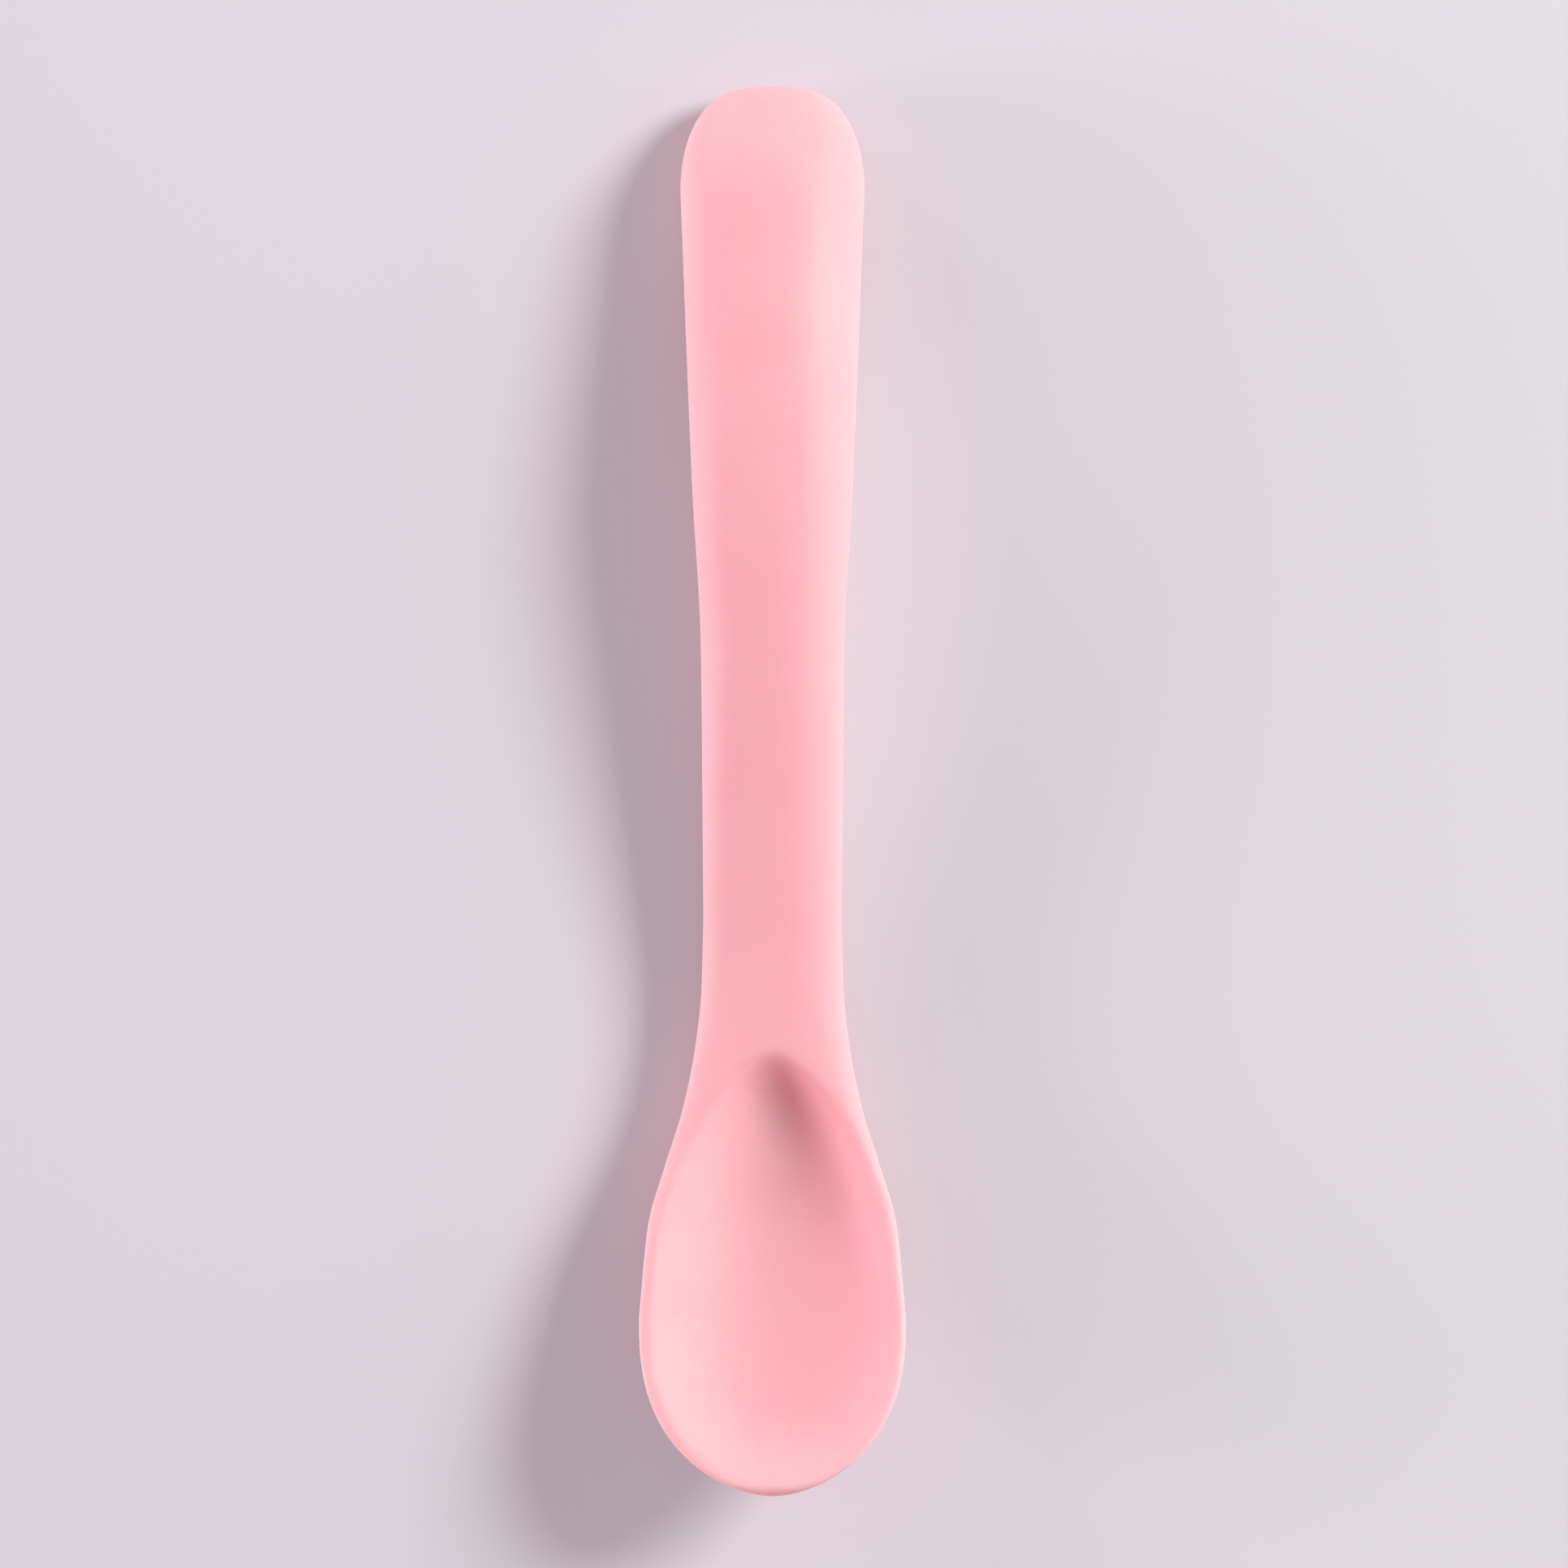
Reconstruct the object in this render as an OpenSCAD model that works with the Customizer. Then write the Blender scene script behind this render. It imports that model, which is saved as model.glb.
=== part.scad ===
// Baby spoon: soft silicone moulded round a stiff nylon core, lying on a table on its bowl and its handle's end.
// It lies along Y with the bowl towards -Y, and +Z is up. A place along it is its distance from the bowl's tip.

/* [Overall] */
// Length from the tip of the bowl to the end of the handle
overall_length = 140; // [136:0.5:150]
// Depth of the small flats that the bowl and the handle rest on
rest_flat = 0.25; // [0.15:0.05:0.4]

/* [Bowl outline] */
// Width of the bowl over its rim
bowl_width = 26.5; // [24:0.5:30]
// Place of the bowl's greatest width
widest_place = 17.5; // [16:0.5:19]
// Place of the nose where the scoop ends
scoop_end = 43.7; // [42.5:0.1:45]
// Width of the rim beside the scoop
rim_land = 1.2; // [1:0.1:1.6]
// Width of the rim in front of the scoop
lip_width = 1.4; // [1.1:0.1:1.8]
// Distance from the scoop's nose over which its width is given
nose_reach = 10; // [9:0.5:11]
// Width of the scoop at that distance from its nose
nose_width = 17; // [15:0.2:18.4]
// Place from which the rim flattens out into the handle
rim_fade = 28; // [26:0.5:30]

/* [Bowl heights] */
// Height of the rim at the tip
tip_height = 15.2; // [14:0.1:16.5]
// Height of the rim at the bowl's greatest width
widest_height = 11; // [10.2:0.1:11.8]
// Height of the rounded rim above the bowl's widest line
rim_height = 1.5; // [1.2:0.1:1.8]
// Thickness of the lip at the tip
lip_thickness = 2; // [1.6:0.1:2.4]
// Greatest depth of the scoop under its rim
scoop_depth = 4.9; // [4.2:0.1:5.2]
// Place where the underside of the bowl touches the table
keel_place = 36; // [34:0.5:38]

/* [Waist] */
// Place where the top is lowest
dip_place = 41.5; // [40.5:0.5:42.5]
// Height of the top there
dip_height = 7.3; // [7:0.1:7.8]
// Place where the spoon is narrowest
waist_place = 57; // [55:0.5:60]
// Width of the spoon there
waist_width = 13.8; // [13:0.2:15]
// Height of the underside there
waist_lift = 2.6; // [2.2:0.1:2.9]

/* [Handle] */
// Place of the handle's highest point
arch_place = 101; // [98:0.5:104]
// Height of the top there
arch_height = 13.6; // [13:0.1:14.4]
// Height of the underside there
arch_lift = 5; // [4.6:0.1:5.6]
// Width of the handle near its end
handle_width = 18.4; // [17.4:0.1:19.4]
// Length of the handle's rounded end, seen from above
end_round = 10.4; // [9.6:0.1:11.4]
// Length of the handle's rounded end, seen from the side, where its top drops
end_drop = 14; // [13:0.5:15]
// Height of the top where the round end starts
tail_height = 11; // [10.6:0.1:11.6]
// Height that the top would have at the very end if that weren't round
end_height = 7.8; // [7.2:0.1:8.4]
// Distance from the handle's end to the place where its underside touches the table
foot_inset = 8.5; // [7.5:0.5:9.5]
// Height of the handle's widest line over its underside, as a share of its thickness
widest_line_share = 0.4; // [0.36:0.01:0.5]

/* [Core] */
// Place where the core starts, under the scoop's nose
core_start = 41; // [40:0.5:43]
// Length of silicone past the core at the handle's end
core_end_skin = 7; // [6:0.5:9]
// Thickness of the core in the handle
core_thickness = 2.6; // [2.2:0.1:3]
// Thickness of the core where it starts
core_start_thickness = 1.7; // [1.4:0.1:1.9]
// Thickness of the silicone beside the core
core_side_skin = 2.6; // [2.2:0.1:3]
// Length over which the core's ends are rounded
core_round = 4.5; // [3.5:0.5:5.5]
// Diameter of the holes through the core that the silicone locks into
key_hole_diameter = 4; // [3:0.1:4.6]
// Number of those holes
key_holes = 6; // [4:1:7]
// Distance from the waist to the first hole, and from the round end to the last
key_hole_inset = 7; // [6:0.5:9]
// Gap between core and silicone
bond_gap = 0.03; // [0.02:0.01:0.06]

/* [Hidden] */
$fn = 48;

// Width of the small blunt face that closes each end of the skin
end_facet = 0.04;
// Overrun of the cut that leaves the flats
overrun = 1;

tail_place = overall_length - end_round;
foot_place = overall_length - foot_inset;
core_end = overall_length - core_end_skin;

// Share of the way from the widest place to the waist, and share of the narrowing that is left there
flank_shares = [[0, 1], [0.23, 0.86], [0.375, 0.605], [0.52, 0.325], [0.67, 0.135], [0.82, 0.032], [1, 0]];
// Share of the way from the waist to the round end, and share of the widening that is reached there
swell_shares = [[0, 0], [0.37, 0.1], [0.59, 0.475], [1, 1]];
// Share of the way along the scoop, and share of its depth that is reached there
depth_shares = [[0, 0], [0.12, 0.79], [0.35, 0.95], [0.6, 1], [0.78, 0.88], [0.9, 0.62], [1, 0]];
// Places of a ring's points, as shares of the rim from outside to inside, and of the scoop or of the underside
rim_shares = [0, 0.02, 0.08, 0.2, 0.45, 1];
scoop_shares = [0.94, 0.85, 0.74, 0.6, 0.45, 0.3, 0.15];
under_shares = [0.985, 0.94, 0.86, 0.74, 0.58, 0.4, 0.2];
// Part of the half width that the same points take at the scoop's nose, and where there is no scoop
nose_share = 0.08;
plain_share = 0.5;

// A smooth curve through knots of place and value, level wherever it turns back
function rise(knots, i) = (knots[i + 1][1] - knots[i][1]) / (knots[i + 1][0] - knots[i][0]);
function tangent(knots, i) =
    i == 0 ? rise(knots, 0)
    : i == len(knots) - 1 ? rise(knots, i - 1)
    : rise(knots, i - 1) * rise(knots, i) <= 0 ? 0
    : 2 / (1 / rise(knots, i - 1) + 1 / rise(knots, i));
function span(knots, s, i = 0) = i >= len(knots) - 2 || s < knots[i + 1][0] ? i : span(knots, s, i + 1);
function hermite(a, b, slope_a, slope_b, t) =
    a + t * slope_a + t * t * (3 * (b - a) - 2 * slope_a - slope_b) + t * t * t * (2 * (a - b) + slope_a + slope_b);
function curve(knots, s) =
    let (i = span(knots, s), step = knots[i + 1][0] - knots[i][0])
    hermite(knots[i][1], knots[i + 1][1], tangent(knots, i) * step, tangent(knots, i + 1) * step,
        (s - knots[i][0]) / step);

// A rounded quarter from 0 at t = 0 to 1 at t = 1
function quarter(t, p, q) = t >= 1 ? 1 : t <= 0 ? 0 : pow(1 - pow(1 - t, p), 1 / q);
function mix(a, b, t) = a + (b - a) * t;
function ease(t) = t <= 0 ? 0 : t >= 1 ? 1 : t * t * (3 - 2 * t);

// Outline seen from above
function half_width(s) =
    s < widest_place ? bowl_width / 2 * quarter(s / widest_place, 2.6, 1.75)
    : s < waist_place
        ? mix(waist_width, bowl_width, curve(flank_shares, (s - widest_place) / (waist_place - widest_place))) / 2
    : s < tail_place
        ? mix(waist_width, handle_width, curve(swell_shares, (s - waist_place) / (tail_place - waist_place))) / 2
    : handle_width / 2 * quarter((overall_length - s) / end_round, 2, 3);

// The scoop's edge: the rim's width inside the outline, drawn in to a rounded nose
function scoop_beside(s) =
    s < widest_place
        ? (bowl_width / 2 - rim_land) * quarter((s - lip_width) / (widest_place - lip_width), 2.6, 1.75)
        : half_width(s) - rim_land;
function scoop_nose(s) = nose_width / 2 * pow((scoop_end - s) / nose_reach, 0.6);
function in_scoop(s) = s > lip_width && s < scoop_end;
function scoop_half(s) = scoop_beside(s) * pow(1 + pow(scoop_beside(s) / scoop_nose(s), 12), -1 / 12);

// Side view: the top and the underside along the middle, before the ends are rounded
top_knots = [[0, tip_height], [widest_place, widest_height], [dip_place, dip_height], [arch_place, arch_height],
    [tail_place, tail_height], [overall_length, end_height]];
under_knots = [[0, tip_height - lip_thickness], [keel_place, -rest_flat], [waist_place, waist_lift],
    [arch_place, arch_lift], [foot_place, -rest_flat], [overall_length, 0]];
function top_at(s) = curve(top_knots, s);
function under_at(s) =
    s < keel_place
        ? mix(tip_height - lip_thickness, -rest_flat, quarter(s / keel_place, 1.5, 1.5))
        : curve(under_knots, s);

// Depth of the scoop along the middle
function depth_at(s) =
    in_scoop(s) ? scoop_depth * curve(depth_shares, (s - lip_width) / (scoop_end - lip_width)) : 0;

// How much of a section is bowl: all of it up to where the rim fades, none of it from the waist on
function bowl_share(s) = ease((waist_place - s) / (waist_place - rim_fade));
// How full a section is over and under its widest line: less than 1 only in the two rounded ends
function end_fullness(s, reach) =
    s < lip_width ? quarter(s / lip_width, 2, 2) : quarter((overall_length - s) / reach, 2, 2.3);

// A section: half width, height of its widest line, heights over and under that, and how square it is
function middle_at(s) =
    mix(mix(under_at(s), top_at(s), widest_line_share), top_at(s) - rim_height, bowl_share(s));
function crest_at(s) = (top_at(s) - middle_at(s)) * end_fullness(s, end_drop);
function sag_at(s) = (middle_at(s) - under_at(s)) * end_fullness(s, foot_inset);
function crest_power(s) = mix(2, 4, bowl_share(s));
function sag_power(s) = mix(2.4, 1.8, bowl_share(s));
function bulge(share, power) = pow(max(0, 1 - pow(abs(share), power)), 1 / power);

// The middle part of the top, which is the scoop where there is one
function inner_half(s) =
    in_scoop(s) ? max(scoop_half(s), half_width(s) * nose_share)
    : half_width(s) * mix(nose_share, plain_share, ease((s - scoop_end) / (waist_place - scoop_end)));
function dish_at(s, share) = depth_at(s) * pow(max(0, 1 - pow(abs(share), 2.2)), 0.8);

function top_point(s, x, dish = 0) =
    [x, middle_at(s) + crest_at(s) * bulge(x / half_width(s), crest_power(s)) - dish];
function rim_side(s, side) =
    [for (share = rim_shares) top_point(s, side * mix(half_width(s), inner_half(s), share))];
function scoop_side(s, side) =
    [for (share = scoop_shares) top_point(s, side * share * inner_half(s), dish_at(s, share))];
function under_point(s, share) =
    [share * half_width(s), middle_at(s) - sag_at(s) * bulge(share, sag_power(s))];
function turned(list) = [for (i = [len(list) - 1:-1:0]) list[i]];

// One closed ring of the skin, from the right edge over the top to the left edge and back underneath
function ring_points(s) = concat(
    rim_side(s, 1), scoop_side(s, 1), [top_point(s, 0, dish_at(s, 0))], turned(scoop_side(s, -1)),
    turned(rim_side(s, -1)),
    [for (share = under_shares) under_point(s, -share)], [under_point(s, 0)],
    [for (share = turned(under_shares)) under_point(s, share)]);

// Places of the rings, closer together where the shape turns faster
function places(from, to, count, power) = [for (i = [0:count - 1]) mix(from, to, pow(i / count, power))];
function places_back(from, to, count, power) =
    [for (i = [0:count - 1]) mix(to, from, pow(1 - i / count, power))];
nose_place = mix(rim_fade, scoop_end, 0.55);
drop_place = overall_length - end_drop;
ring_places = concat(
    places(0, lip_width, 6, 2), places(lip_width, widest_place, 15, 1.6),
    places(widest_place, nose_place, 9, 1), places_back(nose_place, scoop_end, 10, 1.8),
    places(scoop_end, waist_place, 7, 1), places(waist_place, drop_place, 22, 1),
    places_back(drop_place, overall_length, 14, 2), [overall_length]);

function clear_of_ends(s) = min(max(s, end_facet), overall_length - end_facet);
function along(s) = s - overall_length / 2;

// The spoon's whole outer skin with its scoop, not yet cut flat underneath
module skin() {
    rings = [for (s = ring_places) [for (p = ring_points(clear_of_ends(s))) [p[0], along(s), p[1]]]];
    count = len(rings[0]);
    last = len(rings) - 1;
    walls = [for (r = [0:last - 1], i = [0:count - 1])
        let (a = r * count + i, b = r * count + (i + 1) % count)
        each [[a, b, a + count], [b, b + count, a + count]]];
    ends = [[for (i = [count - 1:-1:0]) i], [for (i = [0:count - 1]) last * count + i]];
    polyhedron([for (ring = rings) each ring], concat(walls, ends), convexity = 6);
}

// The core's middle line runs through the middle of the silicone
function core_middle(s) = (top_at(s) - depth_at(s) + under_at(s)) / 2;
core_knots = [for (s = [core_start, waist_place, arch_place, tail_place, core_end]) [s, core_middle(s)]];
function core_half_thickness(s) =
    mix(core_start_thickness, core_thickness, ease((s - core_start) / (waist_place - core_start))) / 2;
function core_half_width(s) =
    (half_width(s) - core_side_skin) * quarter((s - core_start) / core_round, 2, 2)
    * quarter((core_end - s) / core_round, 2, 2);
core_steps = 48;
function core_places() = [for (i = [0:core_steps]) mix(core_start, core_end, (1 - cos(180 * i / core_steps)) / 2)];

// The core, or with a positive grow the room that the silicone leaves for it
module core_shape(grow) {
    difference() {
        intersection() {
            rotate([90, 0, 90])
                linear_extrude(height = bowl_width, center = true)
                    polygon(concat(
                        [for (s = core_places()) [along(s), curve(core_knots, s) - core_half_thickness(s) - grow]],
                        [for (s = turned(core_places()))
                            [along(s), curve(core_knots, s) + core_half_thickness(s) + grow]]));
            linear_extrude(height = tip_height)
                polygon(concat(
                    [for (s = core_places()) [core_half_width(s) + grow, along(s)]],
                    [for (s = turned(core_places())) [-core_half_width(s) - grow, along(s)]]));
        }
        for (i = [0:key_holes - 1])
            translate([0, along(mix(waist_place + key_hole_inset, tail_place - key_hole_inset, i / (key_holes - 1)))])
                cylinder(h = tip_height, d = key_hole_diameter - 2 * grow);
    }
}

// Handle, waist and bowl in one moulding of soft silicone, cut flat where they touch the table
module silicone_body() {
    color([0.98, 0.71, 0.74])
        difference() {
            skin();
            translate([-bowl_width, along(-overrun), -rest_flat - overrun])
                cube([2 * bowl_width, overall_length + 2 * overrun, rest_flat + overrun]);
            core_shape(bond_gap);
        }
}

// Nylon blade that keeps handle and waist stiff
module stiffening_core() {
    color([0.93, 0.91, 0.86])
        core_shape(0);
}

silicone_body();
stiffening_core();
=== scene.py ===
import math

import bmesh
import bpy
from bpy.props import FloatProperty, PointerProperty, StringProperty
from bpy.types import Operator, Panel, PropertyGroup
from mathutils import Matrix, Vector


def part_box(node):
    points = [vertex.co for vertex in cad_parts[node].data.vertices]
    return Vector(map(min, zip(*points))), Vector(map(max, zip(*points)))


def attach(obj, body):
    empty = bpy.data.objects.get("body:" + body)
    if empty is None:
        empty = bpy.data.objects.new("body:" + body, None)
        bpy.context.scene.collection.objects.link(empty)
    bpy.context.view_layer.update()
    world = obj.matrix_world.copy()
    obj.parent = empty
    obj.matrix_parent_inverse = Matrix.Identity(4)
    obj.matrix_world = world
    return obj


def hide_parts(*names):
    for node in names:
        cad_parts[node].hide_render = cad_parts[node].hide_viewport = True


bl_info = {
    "name": "Silicone baby spoon",
    "version": (1, 0, 0),
    "blender": (4, 5, 0),
    "location": "View3D > Sidebar > Spoon",
    "description": "Dresses the packed baby spoon and sets the table, the light and the camera",
    "category": "Object",
}

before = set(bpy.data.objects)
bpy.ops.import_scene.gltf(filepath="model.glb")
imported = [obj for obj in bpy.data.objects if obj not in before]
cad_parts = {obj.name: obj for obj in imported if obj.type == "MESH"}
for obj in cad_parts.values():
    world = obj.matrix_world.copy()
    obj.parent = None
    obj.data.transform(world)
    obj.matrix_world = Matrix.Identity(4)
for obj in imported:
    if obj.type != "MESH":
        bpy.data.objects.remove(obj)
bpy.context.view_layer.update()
CAD_LOW, CAD_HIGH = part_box("silicone_body")
SKIN_NODE, CORE_NODE = "silicone_body", "stiffening_core"
MM = 0.001


def length(name, description, millimetres):
    """A length in the sidebar, in the scene's metres."""
    return FloatProperty(name=name, description=description, default=millimetres * MM, min=0, precision=5,
        unit="LENGTH", subtype="DISTANCE")


def hex_colour(name, description, value):
    """A colour in the sidebar, as the hex value of its sRGB."""
    return StringProperty(name=name, description=description, default=value)


class SpoonSizes(PropertyGroup):
    """The spoon's outline and heights. A place along the spoon is its distance from the bowl's tip."""

    overall: FloatProperty(name="Overall length", description="From the bowl's tip to the handle's end",
        default=CAD_HIGH.y - CAD_LOW.y, unit="LENGTH", subtype="DISTANCE")
    bowl_width: FloatProperty(name="Bowl width", description="Over the rim, at the widest place",
        default=CAD_HIGH.x - CAD_LOW.x, unit="LENGTH", subtype="DISTANCE")
    rest_flat: length("Rest flat", "Depth of the flats that bowl and handle rest on", 0.25)
    widest_place: length("Widest place", "Place of the bowl's greatest width", 17.5)
    scoop_end: length("Scoop end", "Place of the scoop's nose", 43.7)
    rim_land: length("Rim width", "Width of the rim beside the scoop", 1.2)
    lip_width: length("Lip width", "Width of the rim in front of the scoop", 1.4)
    nose_reach: length("Nose reach", "Distance from the nose over which its width is given", 10)
    nose_width: length("Nose width", "Width of the scoop at that distance", 17)
    rim_fade: length("Rim fade", "Place from which the rim flattens out into the handle", 28)
    edge_softness: length("Edge softness", "Radius over which the scoop's edge is rounded", 1.3)
    nose_softness: length("Nose softness", "The same radius at the scoop's nose", 0.7)
    nose_fade: length("Nose fade", "Distance from the nose over which the one radius turns into the other", 8)
    tip_height: length("Tip height", "Height of the rim at the tip", 15.2)
    widest_height: length("Rim height at the widest place", "Height of the rim there", 11)
    rim_height: length("Rim roundness", "Height of the rounded rim above its widest line", 1.5)
    lip_thickness: length("Lip thickness", "Thickness of the lip at the tip", 2)
    scoop_depth: length("Scoop depth", "Greatest depth of the scoop under its rim", 4.9)
    keel_place: length("Keel place", "Place where the bowl touches the table", 36)
    dip_place: length("Dip place", "Place where the top is lowest", 41.5)
    dip_height: length("Dip height", "Height of the top there", 7.3)
    waist_place: length("Waist place", "Place where the spoon is narrowest", 57)
    waist_width: length("Waist width", "Width of the spoon there", 13.8)
    waist_lift: length("Waist lift", "Height of the underside there", 2.6)
    arch_place: length("Arch place", "Place of the handle's highest point", 101)
    arch_height: length("Arch height", "Height of the top there", 13.6)
    arch_lift: length("Arch lift", "Height of the underside there", 5)
    handle_width: length("Handle width", "Width of the handle near its end", 18.4)
    end_round: length("End round", "Length of the rounded end from above", 10.4)
    end_drop: length("End drop", "Length of the rounded end from the side", 14)
    tail_height: length("Tail height", "Height of the top where the round end starts", 11)
    end_height: length("End height", "Height that the top would have at the end if that weren't round", 7.8)
    foot_inset: length("Foot inset", "Distance from the end to the place where the handle touches the table", 8.5)
    widest_line_share: FloatProperty(name="Widest line", description="Height of the handle's widest line as a share "
        "of its thickness", default=0.4, min=0.1, max=0.9, subtype="FACTOR")


class SpoonColours(PropertyGroup):
    """Colours of the spoon and of what it lies on."""

    silicone: hex_colour("Silicone", "Pink of the silicone", "#FEBBC0")
    silicone_deep: hex_colour("Silicone, deeper", "Pink of its slightly denser patches", "#FDB7BD")
    nylon: hex_colour("Nylon", "Undyed nylon of the core", "#E9E2D2")
    nylon_deep: hex_colour("Nylon, deeper", "Its slightly warmer flow marks", "#E0D6C2")
    table: hex_colour("Table", "Pale tabletop", "#DAD5DC")
    key: hex_colour("Key lamp", "Light of the soft box that casts the shadow", "#F9FFFB")
    fill: hex_colour("Fill lamps", "Light of the soft boxes that lift the shadow", "#FFF8FE")
    room: hex_colour("Room light", "Light from all round", "#FFF5FA")


# Share of the way from the widest place to the waist, and share of the narrowing that is left there
FLANK_SHARES = [(0, 1), (0.23, 0.86), (0.375, 0.605), (0.52, 0.325), (0.67, 0.135), (0.82, 0.032), (1, 0)]
# Share of the way from the waist to the round end, and share of the widening that is reached there
SWELL_SHARES = [(0, 0), (0.37, 0.1), (0.59, 0.475), (1, 1)]
# Share of the way along the scoop, and share of its depth that is reached there
DEPTH_SHARES = [(0, 0), (0.12, 0.79), (0.35, 0.95), (0.6, 1), (0.78, 0.88), (0.9, 0.62), (1, 0)]
# How the outline is rounded at the bowl and at the handle's end, and the underside in front of the heel
BOWL_ROUNDNESS, END_ROUNDNESS, HEEL_ROUNDNESS = (2.6, 1.75), (2, 3), (1.5, 1.5)
# How the sections fill up from the lip and from the handle's end
LIP_FULLNESS, END_FULLNESS = (2, 2), (2, 2.3)
# How square a section is over and under its widest line, each in the handle and in the bowl
CREST_POWERS, SAG_POWERS = (2, 4), (2.4, 1.8)
# How the scoop's floor rises to its edge, how its nose narrows, and how tightly nose and sides join
DISH_POWERS, NOSE_POWER, JOIN_POWER = (2.2, 0.8), 0.6, 12
# Distance from the scoop's edge, in radii of its rounding along and across, past which its floor stays as it is
CALM_ALONG, CALM_ACROSS = 3, 2
# Where a section's points lie: from the middle to the scoop's edge, on to the outline, and back underneath
SCOOP_SHARES = [0, 0.015, 0.06, 0.15, 0.28, 0.42, 0.55, 0.67, 0.77, 0.85, 0.91, 0.96]
RIM_SHARES = [0, 0.14, 0.3, 0.47, 0.63, 0.77, 0.88, 0.95, 0.988]
UNDER_SHARES = [0, 0.012, 0.05, 0.11, 0.2, 0.32, 0.46, 0.6, 0.74, 0.86, 0.95, 0.985, 1]
# Half width of a section's middle part, as a share of the whole, at the scoop's nose and where there is no scoop
NOSE_SHARE, PLAIN_SHARE = 0.3, 0.5
# Distances between sections along the outline: place on the spoon and distance, in millimetres
SECTION_GAPS = [(0, 0.45), (14, 0.5), (24, 0.7), (38, 0.5), (41, 0.3), (46, 0.35), (52, 0.9), (70, 1.5), (118, 1.3),
    (128, 0.7), (140, 0.55)]
# Round of places over which the scoop's edge is averaged: distance as a share of the softness, and how many
SOFTENING_ROUNDS = [(0, 1), (0.3, 6), (0.6, 10), (0.9, 14)]
OUTLINE_STEPS = 24000
MERGE_DISTANCE = 0.2e-6


def mix(a, b, t):
    return a + (b - a) * t


def ease(t):
    t = min(1, max(0, t))
    return t * t * (3 - 2 * t)


def quarter(t, p, q):
    """A rounded quarter from 0 at t = 0 to 1 at t = 1."""
    return (1 - (1 - min(1, max(0, t))) ** p) ** (1 / q)


def bulge(share, power):
    return max(0, 1 - abs(share) ** power) ** (1 / power)


def curve(knots, s):
    """A smooth curve through knots of place and value, level wherever it turns back."""
    rises = [(b[1] - a[1]) / (b[0] - a[0]) for a, b in zip(knots, knots[1:])]
    turns = [0 if a * b <= 0 else 2 / (1 / a + 1 / b) for a, b in zip(rises, rises[1:])]
    slopes = [rises[0], *turns, rises[-1]]
    i = max([0] + [k for k in range(len(rises)) if s >= knots[k][0]])
    step = knots[i + 1][0] - knots[i][0]
    t = (s - knots[i][0]) / step
    a, b, slope_a, slope_b = knots[i][1], knots[i + 1][1], slopes[i] * step, slopes[i + 1] * step
    return (a + t * slope_a + t * t * (3 * (b - a) - 2 * slope_a - slope_b)
        + t * t * t * (2 * (a - b) + slope_a + slope_b))


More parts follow.
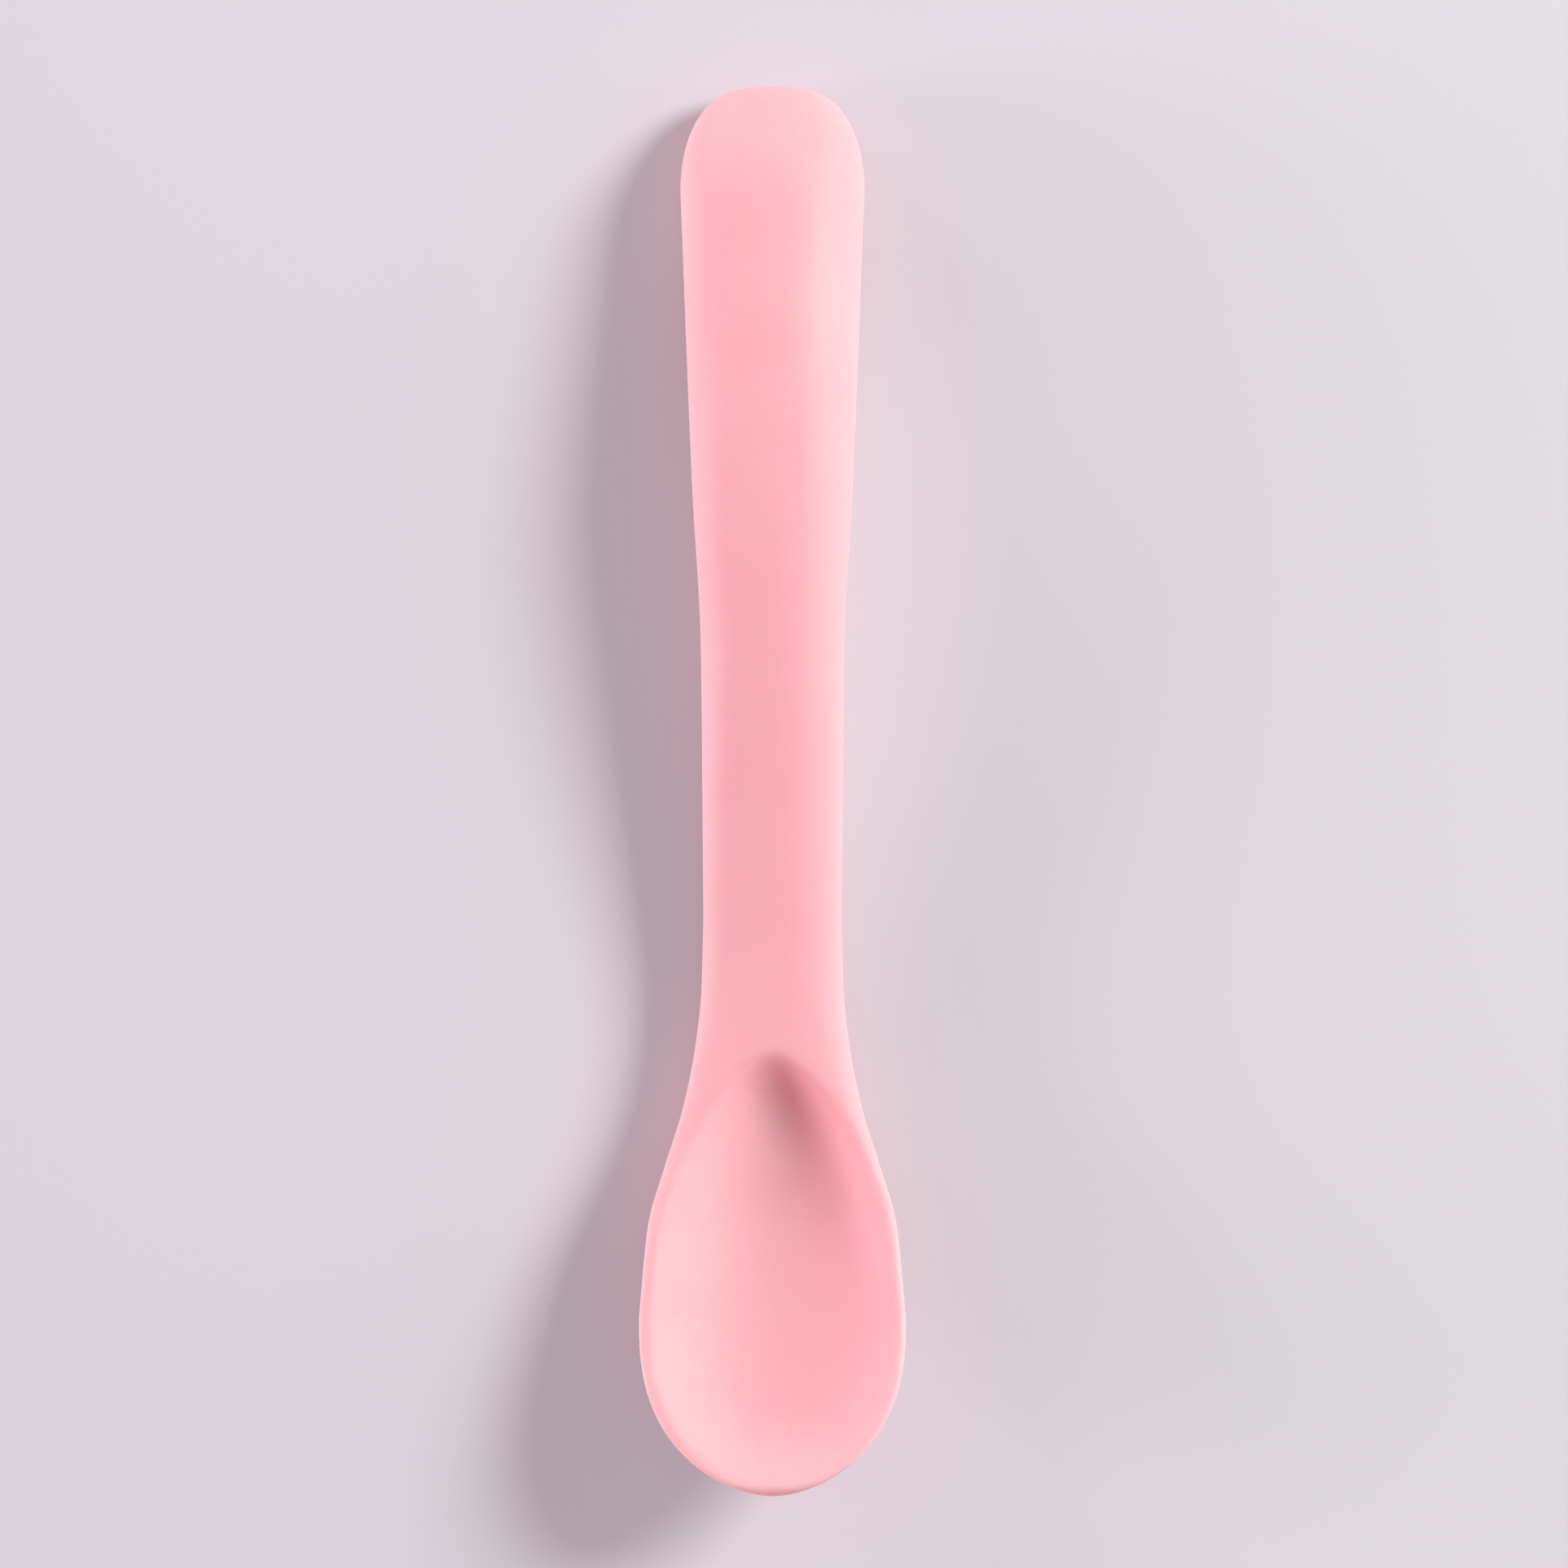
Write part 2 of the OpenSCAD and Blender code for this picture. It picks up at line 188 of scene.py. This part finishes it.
class SpoonForm:
    """The spoon's surfaces over its outline, from the sizes in the sidebar."""

    def __init__(self, sizes):
        self.z = sizes
        self.tail_place = sizes.overall - sizes.end_round
        self.tops = [(0, sizes.tip_height), (sizes.widest_place, sizes.widest_height),
            (sizes.dip_place, sizes.dip_height), (sizes.arch_place, sizes.arch_height),
            (self.tail_place, sizes.tail_height), (sizes.overall, sizes.end_height)]
        self.unders = [(0, sizes.tip_height - sizes.lip_thickness), (sizes.keel_place, -sizes.rest_flat),
            (sizes.waist_place, sizes.waist_lift), (sizes.arch_place, sizes.arch_lift),
            (sizes.overall - sizes.foot_inset, -sizes.rest_flat), (sizes.overall, 0)]

    def half_width(self, s):
        z = self.z
        if s < z.widest_place:
            return z.bowl_width / 2 * quarter(s / z.widest_place, *BOWL_ROUNDNESS)
        if s < z.waist_place:
            way = (s - z.widest_place) / (z.waist_place - z.widest_place)
            return mix(z.waist_width, z.bowl_width, curve(FLANK_SHARES, way)) / 2
        if s < self.tail_place:
            way = (s - z.waist_place) / (self.tail_place - z.waist_place)
            return mix(z.waist_width, z.handle_width, curve(SWELL_SHARES, way)) / 2
        return z.handle_width / 2 * quarter((z.overall - s) / z.end_round, *END_ROUNDNESS)

    def in_scoop(self, s):
        return self.z.lip_width < s < self.z.scoop_end

    def scoop_half(self, s):
        z = self.z
        if s < z.widest_place:
            way = (s - z.lip_width) / (z.widest_place - z.lip_width)
            beside = (z.bowl_width / 2 - z.rim_land) * quarter(way, *BOWL_ROUNDNESS)
        else:
            beside = self.half_width(s) - z.rim_land
        nose = z.nose_width / 2 * ((z.scoop_end - s) / z.nose_reach) ** NOSE_POWER
        return beside * (1 + (beside / nose) ** JOIN_POWER) ** (-1 / JOIN_POWER)

    def top_at(self, s):
        return curve(self.tops, s)

    def under_at(self, s):
        z = self.z
        if s < z.keel_place:
            return mix(z.tip_height - z.lip_thickness, -z.rest_flat, quarter(s / z.keel_place, *HEEL_ROUNDNESS))
        return curve(self.unders, s)

    def bowl_share(self, s):
        z = self.z
        return ease((z.waist_place - s) / (z.waist_place - z.rim_fade))

    def fullness(self, s, reach):
        """How full a section is over and under its widest line: less than 1 only in the two rounded ends."""
        if s < self.z.lip_width:
            return quarter(s / self.z.lip_width, *LIP_FULLNESS)
        return quarter((self.z.overall - s) / reach, *END_FULLNESS)

    def middle_at(self, s):
        top = self.top_at(s)
        middle = mix(self.under_at(s), top, self.z.widest_line_share)
        return mix(middle, top - self.z.rim_height, self.bowl_share(s))

    def share_across(self, s, x):
        half = self.half_width(s)
        return min(1, abs(x) / half) if half > 0 else 0

    def dish_at(self, s, x):
        """Depth of the scoop under the rim's surface."""
        z = self.z
        if not self.in_scoop(s):
            return 0
        way = (s - z.lip_width) / (z.scoop_end - z.lip_width)
        share = abs(x) / self.scoop_half(s)
        inner, outer = DISH_POWERS
        return z.scoop_depth * curve(DEPTH_SHARES, way) * max(0, 1 - share ** inner) ** outer

    def soft_dish_at(self, s, x):
        """The same depth averaged over a small round, which softens the scoop's edge all along it."""
        z = self.z
        softness = mix(z.edge_softness, z.nose_softness, ease((s - z.scoop_end) / z.nose_fade + 1))
        if s > z.scoop_end + softness or (self.in_scoop(s) and self.deep_inside(s, x)):
            return self.dish_at(s, x)
        total = weight = 0
        for reach, count in SOFTENING_ROUNDS:
            for i in range(count):
                turn = 2 * math.pi * (i + 0.5) / count
                total += self.dish_at(s + softness * reach * math.sin(turn),
                    x + softness * reach * math.cos(turn))
                weight += 1
        return total / weight

    def deep_inside(self, s, x):
        z = self.z
        margin = CALM_ALONG * z.edge_softness
        return (z.lip_width + margin < s < z.scoop_end - margin
            and abs(x) < self.scoop_half(s) - CALM_ACROSS * z.edge_softness)

    def top_height(self, s, x):
        middle = self.middle_at(s)
        power = mix(*CREST_POWERS, self.bowl_share(s))
        crest = (self.top_at(s) - middle) * self.fullness(s, self.z.end_drop)
        return middle + crest * bulge(self.share_across(s, x), power) - self.soft_dish_at(s, x)

    def under_height(self, s, x):
        middle = self.middle_at(s)
        power = mix(*SAG_POWERS, self.bowl_share(s))
        sag = (middle - self.under_at(s)) * self.fullness(s, self.z.foot_inset)
        return max(0, middle - sag * bulge(self.share_across(s, x), power))

    def section_line(self, s):
        """Middle, scoop's edge and outline of the section that meets the outline at s, as places (x, s). In the two
        rounded ends the sections turn round one middle, so that the mesh follows the rim."""
        z = self.z
        outline = (self.half_width(s), s)
        if s < z.widest_place:
            way = s / z.widest_place
            beside = (z.bowl_width / 2 - z.rim_land) * quarter(way, *BOWL_ROUNDNESS)
            edge = (beside, mix(z.lip_width, z.widest_place, way))
            return (0, z.widest_place), edge, outline
        if s > self.tail_place:
            middle = (0, self.tail_place)
            return middle, tuple(mix(a, b, PLAIN_SHARE) for a, b in zip(middle, outline)), outline
        nose = ease((s - z.scoop_end) / (z.waist_place - z.scoop_end))
        inner = self.half_width(s) * mix(NOSE_SHARE, PLAIN_SHARE, nose)
        if self.in_scoop(s):
            inner = max(self.scoop_half(s), inner)
        return (0, s), (inner, s), outline

    def section_points(self, s):
        """The right half of a section as points of the mesh, from the middle over the top and the outline and back
        to the middle underneath."""
        middle, edge, outline = self.section_line(s)
        between = [(mix(middle[0], edge[0], t), mix(middle[1], edge[1], t)) for t in SCOOP_SHARES]
        between += [(mix(edge[0], outline[0], t), mix(edge[1], outline[1], t)) for t in RIM_SHARES]
        beneath = [(mix(outline[0], middle[0], t), mix(outline[1], middle[1], t)) for t in UNDER_SHARES]
        points = [(x, place, self.top_height(place, x)) for x, place in between]
        points += [(x, place, self.under_height(place, x)) for x, place in beneath]
        return [(x, place + CAD_LOW.y, height) for x, place, height in points]

    def section_places(self):
        """Where the sections meet the outline, closer together where the skin turns faster."""
        places, walked, last = [0], 0, (0, 0)
        for i in range(1, OUTLINE_STEPS):
            s = self.z.overall * (1 - math.cos(math.pi * i / OUTLINE_STEPS)) / 2
            point = (self.half_width(s), s)
            walked += math.dist(last, point)
            last = point
            if walked >= curve(SECTION_GAPS, s / MM) * MM:
                places.append(s)
                walked = 0
        return places + [self.z.overall]


def linear(value, alpha=1):
    """The linear colour of an sRGB hex value."""
    parts = [int(value[i:i + 2], 16) / 255 for i in (1, 3, 5)]
    return [p / 12.92 if p <= 0.04045 else ((p + 0.055) / 1.055) ** 2.4 for p in parts] + [alpha]


def new_material(name):
    """A material with no nodes yet."""
    material = bpy.data.materials.new(name)
    material.use_nodes = True
    material.node_tree.nodes.clear()
    return material


def add_node(tree, kind, settings=None, inputs=None, links=None):
    """A node with its settings, the values of its sockets, and links into it as socket: (node, output)."""
    node = tree.nodes.new(kind)
    for name, value in (settings or {}).items():
        setattr(node, name, value)
    for name, value in (inputs or {}).items():
        node.inputs[name].default_value = value
    for name, (source, output) in (links or {}).items():
        tree.links.new(source.outputs[output], node.inputs[name])
    return node


def colour_ramp(tree, low, high, source):
    """Turns a noise between two thresholds into a colour between two hex values."""
    ramp = add_node(tree, "ShaderNodeValToRGB", links={"Fac": source})
    for element, (place, value) in zip(ramp.color_ramp.elements, (low, high)):
        element.position = place
        element.color = linear(value)
    return ramp


def silicone_material(colours):
    """Liquid silicone rubber, pigmented and moulded in a finely blasted steel mould: light enters a few millimetres
    and comes out again, so shadows and edges glow, and the blasted grain leaves only a broad, weak sheen."""
    material = new_material("Moulded silicone rubber")
    tree = material.node_tree
    place = add_node(tree, "ShaderNodeTexCoord")
    # Pigment is mixed in by rolling, which leaves patches about 12 mm across that are hardly denser
    patches = add_node(tree, "ShaderNodeTexNoise", inputs={"Scale": 1 / (12 * MM), "Detail": 2, "Roughness": 0.5},
        links={"Vector": (place, "Object")})
    pink = colour_ramp(tree, (0.35, colours.silicone), (0.7, colours.silicone_deep), (patches, "Fac"))
    # The mould's blasted grain is about 0.05 mm, drawn at 0.25 mm so that it shows in a render
    grain = add_node(tree, "ShaderNodeTexNoise", inputs={"Scale": 1 / (0.25 * MM), "Detail": 3, "Roughness": 0.6},
        links={"Vector": (place, "Object")})
    bump = add_node(tree, "ShaderNodeBump", inputs={"Strength": 0.12, "Distance": 0.02 * MM},
        links={"Height": (grain, "Fac")})
    # Handling polishes the blasted surface a little in places
    polish = add_node(tree, "ShaderNodeTexNoise", inputs={"Scale": 1 / (7 * MM), "Detail": 4, "Roughness": 0.55},
        links={"Vector": (place, "Object")})
    rough = add_node(tree, "ShaderNodeMapRange",
        inputs={"From Min": 0.3, "From Max": 0.7, "To Min": 0.5, "To Max": 0.58},
        links={"Value": (polish, "Fac")})
    shader = add_node(tree, "ShaderNodeBsdfPrincipled", settings={"subsurface_method": "RANDOM_WALK"},
        inputs={"IOR": 1.41, "Subsurface Weight": 1, "Subsurface Radius": (1, 0.32, 0.27),
            "Subsurface Scale": 4 * MM, "Specular IOR Level": 0.5, "Sheen Weight": 0.08, "Sheen Roughness": 0.5},
        links={"Base Color": (pink, "Color"), "Roughness": (rough, "Result"), "Normal": (bump, "Normal")})
    add_node(tree, "ShaderNodeOutputMaterial", links={"Surface": (shader, "BSDF")})
    return material


def nylon_material(colours):
    """Undyed nylon 6, injection moulded: a milky cream with faint flow marks along the blade and a satin skin."""
    material = new_material("Moulded natural nylon")
    tree = material.node_tree
    place = add_node(tree, "ShaderNodeTexCoord")
    # Flow marks run along the blade, about 2 mm apart across it
    along = add_node(tree, "ShaderNodeMapping", inputs={"Scale": (1, 0.12, 1)}, links={"Vector": (place, "Object")})
    flow = add_node(tree, "ShaderNodeTexNoise", inputs={"Scale": 1 / (2 * MM), "Detail": 3, "Roughness": 0.5},
        links={"Vector": (along, "Vector")})
    cream = colour_ramp(tree, (0.35, colours.nylon), (0.7, colours.nylon_deep), (flow, "Fac"))
    rough = add_node(tree, "ShaderNodeMapRange", inputs={"To Min": 0.38, "To Max": 0.5},
        links={"Value": (flow, "Fac")})
    bump = add_node(tree, "ShaderNodeBump", inputs={"Strength": 0.1, "Distance": 0.03 * MM},
        links={"Height": (flow, "Fac")})
    shader = add_node(tree, "ShaderNodeBsdfPrincipled",
        inputs={"IOR": 1.53, "Subsurface Weight": 0.2, "Subsurface Radius": (1, 0.9, 0.7),
            "Subsurface Scale": 1 * MM},
        links={"Base Color": (cream, "Color"), "Roughness": (rough, "Result"), "Normal": (bump, "Normal")})
    add_node(tree, "ShaderNodeOutputMaterial", links={"Surface": (shader, "BSDF")})
    return material


def table_material(colours):
    """Matt white laminate with a trace of lavender, wiped clean: even, with barely any sheen."""
    material = new_material("Matt pale laminate")
    tree = material.node_tree
    place = add_node(tree, "ShaderNodeTexCoord")
    # A printed-paper laminate varies by a trace over about 60 mm
    cloud = add_node(tree, "ShaderNodeTexNoise", inputs={"Scale": 1 / (60 * MM), "Detail": 2, "Roughness": 0.5},
        links={"Vector": (place, "Object")})
    rough = add_node(tree, "ShaderNodeMapRange", inputs={"To Min": 0.75, "To Max": 0.85},
        links={"Value": (cloud, "Fac")})
    shader = add_node(tree, "ShaderNodeBsdfPrincipled",
        inputs={"Base Color": linear(colours.table), "Specular IOR Level": 0.25},
        links={"Roughness": (rough, "Result")})
    add_node(tree, "ShaderNodeOutputMaterial", links={"Surface": (shader, "BSDF")})
    return material


def mesh_object(name, bm, material):
    """A finished mesh as an object at the origin, with its place in its mesh."""
    mesh = bpy.data.meshes.new(name)
    bm.to_mesh(mesh)
    bm.free()
    mesh.shade_smooth()
    mesh.materials.append(material)
    piece = bpy.data.objects.new(name, mesh)
    bpy.context.scene.collection.objects.link(piece)
    return piece


class SPOON_OT_skin(Operator):
    """Model the silicone skin: handle, waist and bowl in one soft moulding"""

    bl_idname = "spoon.skin"
    bl_label = "Silicone skin"

    def execute(self, context):
        form = SpoonForm(context.scene.spoon_sizes)
        sections = [form.section_points(s) for s in form.section_places()]
        across, around = len(sections[0]), len(sections)
        bm = bmesh.new()
        bmesh.ops.create_grid(bm, x_segments=across - 1, y_segments=around - 1, size=1)
        for v in bm.verts:
            i = round((v.co.x + 1) / 2 * (across - 1))
            j = round((v.co.y + 1) / 2 * (around - 1))
            v.co = sections[j][i]
        bmesh.ops.mirror(bm, geom=bm.verts[:] + bm.edges[:] + bm.faces[:], axis="X", merge_dist=MERGE_DISTANCE)
        bmesh.ops.remove_doubles(bm, verts=bm.verts, dist=MERGE_DISTANCE)
        bmesh.ops.recalc_face_normals(bm, faces=bm.faces)
        if any(len(e.link_faces) != 2 for e in bm.edges):
            raise RuntimeError("the skin isn't closed")
        skin = mesh_object("Silicone_Skin", bm, silicone_material(context.scene.spoon_colours))
        smooth = skin.modifiers.new("Smooth", "SUBSURF")
        smooth.levels = smooth.render_levels = 1
        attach(skin, "root")
        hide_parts(SKIN_NODE)
        return {"FINISHED"}


class SPOON_OT_core(Operator):
    """Give the stiffening core its nylon"""

    bl_idname = "spoon.core"
    bl_label = "Nylon core"

    def execute(self, context):
        nylon = nylon_material(context.scene.spoon_colours)
        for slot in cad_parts[CORE_NODE].material_slots:
            slot.material = nylon
        return {"FINISHED"}


# The photograph's frame: its width on the table's scale, and the point of the spoon's frame at its middle
VIEW_WIDTH = 155.45 * MM
VIEW_MIDDLE = (1.15 * MM, 0.4 * MM)
VIEW_LEVEL = 10 * MM
CAMERA_HEIGHT = 1.2
SENSOR_WIDTH = 36
TABLE_SIZE = 1.6
# Soft boxes: where they shine from (azimuth from +X towards +Y, elevation), distance, radius, power in watts, colour
SOFT_BOXES = {
    "Key_Light": (26, 33, 1.5, 0.2775, 20.2, "key"),
    "Left_Light": (182, 10, 2, 0.34, 21.5, "fill"),
    "Back_Left_Light": (138, 14, 2, 0.45, 10, "fill"),
    "Right_Light": (0, 17, 2, 0.5, 5.4, "fill"),
}
ROOM_STRENGTH = 0.41


class SPOON_OT_stage(Operator):
    """Set the table, the lamps, the room's light and the camera"""

    bl_idname = "spoon.stage"
    bl_label = "Table, light and camera"

    def execute(self, context):
        scene, colours = context.scene, context.scene.spoon_colours
        bm = bmesh.new()
        bmesh.ops.create_grid(bm, x_segments=8, y_segments=8, size=TABLE_SIZE / 2)
        table = mesh_object("Table", bm, table_material(colours))
        for name, placing in SOFT_BOXES.items():
            self.add_lamp(name, placing, colours)
        scene.world = bpy.data.worlds.new("Room")
        scene.world.use_nodes = True
        backdrop = scene.world.node_tree.nodes["Background"]
        backdrop.inputs["Color"].default_value = linear(colours.room)
        backdrop.inputs["Strength"].default_value = ROOM_STRENGTH
        lens = bpy.data.cameras.new("Overhead")
        lens.sensor_width = SENSOR_WIDTH
        lens.lens = SENSOR_WIDTH * (CAMERA_HEIGHT - VIEW_LEVEL) / VIEW_WIDTH
        lens.clip_start, lens.clip_end = 0.01, 10
        camera = bpy.data.objects.new("Overhead", lens)
        camera.location = (*VIEW_MIDDLE, CAMERA_HEIGHT)
        scene.collection.objects.link(camera)
        scene.camera = camera
        scene.view_settings.view_transform = "Standard"
        return {"FINISHED"}

    def add_lamp(self, name, placing, colours):
        azimuth, elevation, distance, radius, watts, tint = placing
        turn, lift = math.radians(azimuth), math.radians(elevation)
        light = bpy.data.lights.new(name, "AREA")
        light.shape = "DISK"
        light.size = 2 * radius
        light.energy = watts
        light.color = linear(getattr(colours, tint))[:3]
        lamp = bpy.data.objects.new(name, light)
        lamp.location = [distance * p for p in
            (math.cos(turn) * math.cos(lift), math.sin(turn) * math.cos(lift), math.sin(lift))]
        lamp.rotation_euler = (math.pi / 2 - lift, 0, turn + math.pi / 2)
        bpy.context.scene.collection.objects.link(lamp)


class SPOON_PT_sidebar(Panel):
    """Lists the spoon's sizes, colours and pieces in the 3D view's sidebar"""

    bl_idname = "SPOON_PT_sidebar"
    bl_label = "Baby spoon"
    bl_space_type = "VIEW_3D"
    bl_region_type = "UI"
    bl_category = "Spoon"

    def draw(self, context):
        for operator in STEPS:
            self.layout.operator(operator.bl_idname)
        for group in (context.scene.spoon_sizes, context.scene.spoon_colours):
            box = self.layout.box()
            for name in group.__annotations__:
                box.prop(group, name)


STEPS = (SPOON_OT_stage, SPOON_OT_skin, SPOON_OT_core)
CLASSES = (SpoonSizes, SpoonColours, *STEPS, SPOON_PT_sidebar)


def register():
    for cls in CLASSES:
        bpy.utils.register_class(cls)
    bpy.types.Scene.spoon_sizes = PointerProperty(type=SpoonSizes)
    bpy.types.Scene.spoon_colours = PointerProperty(type=SpoonColours)


def unregister():
    del bpy.types.Scene.spoon_colours
    del bpy.types.Scene.spoon_sizes
    for cls in reversed(CLASSES):
        bpy.utils.unregister_class(cls)


def main():
    register()
    bpy.ops.spoon.stage()
    bpy.ops.spoon.skin()
    bpy.ops.spoon.core()


if __name__ == "__main__":
    main()
